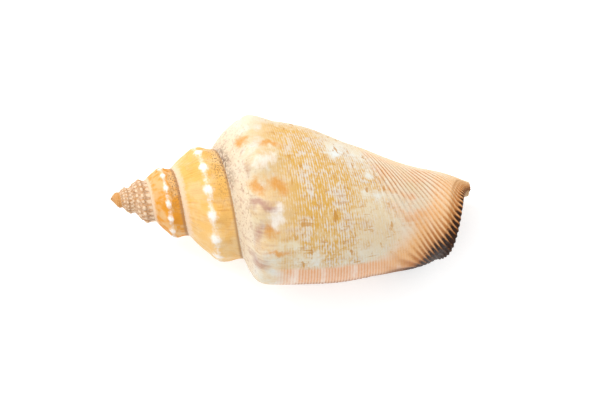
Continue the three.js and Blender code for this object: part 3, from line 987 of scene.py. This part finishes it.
class ConchShellSettings(bpy.types.PropertyGroup):
    """Sizes and colours of the shell."""
    steps_per_turn: count_choice("Steps per turn", "Columns of the mesh in one turn", 160, 24, 240)
    spire_rows: count_choice("Spire rows", "Rows of the mesh from seam to seam", 38, 6, 60)
    side_rows: count_choice("Side rows", "Rows of the mesh down the last whorl's side", 66, 6, 120)
    canal_rows: count_choice("Canal rows", "Rows of the mesh over the corded front", 190, 6, 260)
    lining_steps: count_choice("Lining steps", "Rings of the lining inside the mouth", 16, 6, 60)
    knob_height: height_choice("Knob height", "Height of the knobs against the usual", 1.0, 2.0)
    cord_height: height_choice("Cord height", "Height of the spiral cords, millimetres", 0.2, 0.5)
    cream: colour_choice("Cream", "Ground colour of the last whorl", (0.66, 0.57, 0.4))
    blue_white: colour_choice("Bluish white", "Worn places of the last whorl", (0.66, 0.68, 0.65))
    # also used for the painted shade toward the upper side of the last whorl
    ochre: colour_choice("Ochre", "Golden patches", (0.58, 0.32, 0.05))
    dark_ochre: colour_choice("Dark ochre", "Streaks in the golden patches", (0.45, 0.2, 0.025))
    amber: colour_choice("Amber", "Side of the spire whorls", (0.66, 0.27, 0.025))
    dark_amber: colour_choice("Dark amber", "Streaks on the spire whorls", (0.55, 0.22, 0.025))
    ramp: colour_choice("Ramp", "Sloping ramp of the spire whorls", (0.76, 0.56, 0.3))
    ramp_pink: colour_choice("Pinkish ramp", "Ramps and seams", (0.76, 0.58, 0.42))
    # also used for the painted shadow line at the seams of the spire
    speck: colour_choice("Speck", "Brown specks", (0.32, 0.17, 0.085))
    orange: colour_choice("Orange", "Hollows between the knobs", (0.6, 0.26, 0.045))
    mauve: colour_choice("Mauve", "Shaded sides of the knobs", (0.4, 0.215, 0.16))
    amber_late: colour_choice("Late amber", "Side of the younger spire whorl", (0.74, 0.42, 0.11))
    tan_line: colour_choice("Tan line", "Lines between the cords", (0.38, 0.14, 0.03))
    mouth_red: colour_choice("Mouth red", "Lining near the canal", (0.17, 0.045, 0.025))
    grey_brown: colour_choice("Grey brown", "Oldest whorls", (0.3, 0.16, 0.085))
    pale_bead: colour_choice("Pale bead", "Beads of the oldest whorls", (0.74, 0.56, 0.38))
    knob_white: colour_choice("Knob white", "Worn tops of the knobs", (0.82, 0.77, 0.7))
    peach: colour_choice("Peach", "Band along the lip", (0.7, 0.33, 0.16))
    pale_peach: colour_choice("Pale peach", "Lines across the band", (0.74, 0.5, 0.34))
    # also used for the tan painted shade on the lower back
    tan: colour_choice("Tan", "Front of the last whorl", (0.56, 0.38, 0.19))
    cord_cream: colour_choice("Cord cream", "Crests of the cords", (0.74, 0.6, 0.42))
    mouth_dark: colour_choice("Mouth dark", "Burnt edge of the front margin", (0.014, 0.005, 0.004))
    front_orange: colour_choice("Front orange", "Band where it meets the front", (0.74, 0.4, 0.15))
    scorch: colour_choice("Scorched brown", "Between the front and its dark margin", (0.42, 0.15, 0.035))
    rim_brown: colour_choice("Rim brown", "Line along the lip", (0.2, 0.075, 0.035))
    mouth_pale: colour_choice("Mouth pale", "Lining near the lip", (0.42, 0.2, 0.11))
    mouth_brown: colour_choice("Mouth brown", "Lining deep inside", (0.09, 0.035, 0.02))
    # painted shade and grime held in the seams
    dirt_and_shade: colour_choice("Dirt", "Dirt held in seams", (0.13, 0.07, 0.05))


class ConchStageSettings(bpy.types.PropertyGroup):
    """Table, light and camera."""
    table_size: bpy.props.FloatProperty(
        name="Table size", description="Side of the table", default=4.0, min=0.5, unit="LENGTH")
    table_colour: colour_choice("Table", "Pale table", (0.93, 0.93, 0.93))
    sky: bpy.props.FloatProperty(
        name="Sky", description="Strength of the light from all sides", default=0.93, min=0.0)
    key: bpy.props.FloatProperty(
        name="Key light", description="Power of the large soft lamp", default=2.5, min=0.0, unit="POWER")
    camera_height: bpy.props.FloatProperty(
        name="Camera height", description="Height of the camera over the table", default=0.268, min=0.05,
        unit="LENGTH")


class CONCH_OT_shell(bpy.types.Operator):
    """Wind the shell and give it its finish"""
    bl_idname = "conch.shell"
    bl_label = "Conch shell"

    def execute(self, context):
        settings = context.scene.conch_shell
        shell = wound_object(settings, shell_finish(settings))
        if not shell.data.polygons:
            raise RuntimeError("the shell came out empty")
        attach(shell, "root")
        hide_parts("shell")
        return {"FINISHED"}


class CONCH_OT_stage(bpy.types.Operator):
    """Lay the table, hang the lamps and set the camera"""
    bl_idname = "conch.stage"
    bl_label = "Stage"

    def execute(self, context):
        settings = context.scene.conch_stage
        lay_table(settings)
        hang_lamps(settings)
        set_camera(settings)
        if context.scene.camera is None or context.scene.world is None:
            raise RuntimeError("the stage has no camera or no light")
        return {"FINISHED"}


def lay_table(settings):
    half = settings.table_size / 2
    level = CAD_BOX[0][2] - TABLE_GAP
    corners = [(-half, -half, level), (half, -half, level), (half, half, level), (-half, half, level)]
    mesh = bpy.data.meshes.new("Table")
    mesh.from_pydata(corners, [], [(0, 1, 2, 3)])
    material = bpy.data.materials.new("pale table")
    material.use_nodes = True
    shader = material.node_tree.nodes["Principled BSDF"]
    shader.inputs["Base Color"].default_value = (*settings.table_colour, 1.0)
    shader.inputs["Roughness"].default_value = 0.9
    shader.inputs["Emission Color"].default_value = (1.0, 1.0, 1.0, 1.0)
    shader.inputs["Emission Strength"].default_value = 0.3
    shader.inputs["Specular IOR Level"].default_value = 0.1
    mesh.materials.append(material)
    table = bpy.data.objects.new("Table", mesh)
    bpy.context.scene.collection.objects.link(table)


def hang_lamp(name, place, power, size):
    """A round soft lamp turned toward the middle of the table."""
    lamp = bpy.data.lights.new(name, "AREA")
    lamp.energy = power
    lamp.shape = "DISK"
    lamp.size = size
    holder = bpy.data.objects.new(name, lamp)
    x, y, z = place
    holder.location = place
    holder.rotation_euler = (math.atan2(math.hypot(x, y), z), 0.0, math.atan2(x, -y))
    bpy.context.scene.collection.objects.link(holder)


def hang_lamps(settings):
    world = bpy.data.worlds.new("Studio")
    world.use_nodes = True
    light = world.node_tree.nodes["Background"]
    light.inputs["Color"].default_value = (1.0, 1.0, 1.0, 1.0)
    light.inputs["Strength"].default_value = settings.sky
    bpy.context.scene.world = world
    hang_lamp("Key lamp", KEY_LAMP_PLACE, settings.key, KEY_LAMP_SIZE)
    bpy.context.scene.view_settings.view_transform = "Standard"


def set_camera(settings):
    lens = bpy.data.cameras.new("Camera")
    lens.lens = 100.0
    lens.sensor_width = 36.0
    lens.clip_start = 0.01
    lens.clip_end = 20.0
    camera = bpy.data.objects.new("Camera", lens)
    camera.location = (*CAMERA_PLACE, settings.camera_height)
    bpy.context.scene.collection.objects.link(camera)
    bpy.context.scene.camera = camera


class CONCH_PT_panel(bpy.types.Panel):
    """Makes the shell piece by piece"""
    bl_idname = "CONCH_PT_panel"
    bl_label = "Conch shell"
    bl_space_type = "VIEW_3D"
    bl_region_type = "UI"
    bl_category = "Conch"

    def draw(self, context):
        column = self.layout.column()
        for name in ("steps_per_turn", "knob_height", "cord_height", "cream", "ochre", "amber", "peach"):
            column.prop(context.scene.conch_shell, name)
        column.operator("conch.shell")
        for name in ("table_colour", "sky", "key", "camera_height"):
            column.prop(context.scene.conch_stage, name)
        column.operator("conch.stage")


CLASSES = (ConchShellSettings, ConchStageSettings, CONCH_OT_shell, CONCH_OT_stage, CONCH_PT_panel)


def register():
    for kind in CLASSES:
        bpy.utils.register_class(kind)
    bpy.types.Scene.conch_shell = bpy.props.PointerProperty(type=ConchShellSettings)
    bpy.types.Scene.conch_stage = bpy.props.PointerProperty(type=ConchStageSettings)


def unregister():
    del bpy.types.Scene.conch_stage
    del bpy.types.Scene.conch_shell
    for kind in reversed(CLASSES):
        bpy.utils.unregister_class(kind)


def main():
    register()
    bpy.ops.conch.shell()
    bpy.ops.conch.stage()


if __name__ == "__main__":
    main()
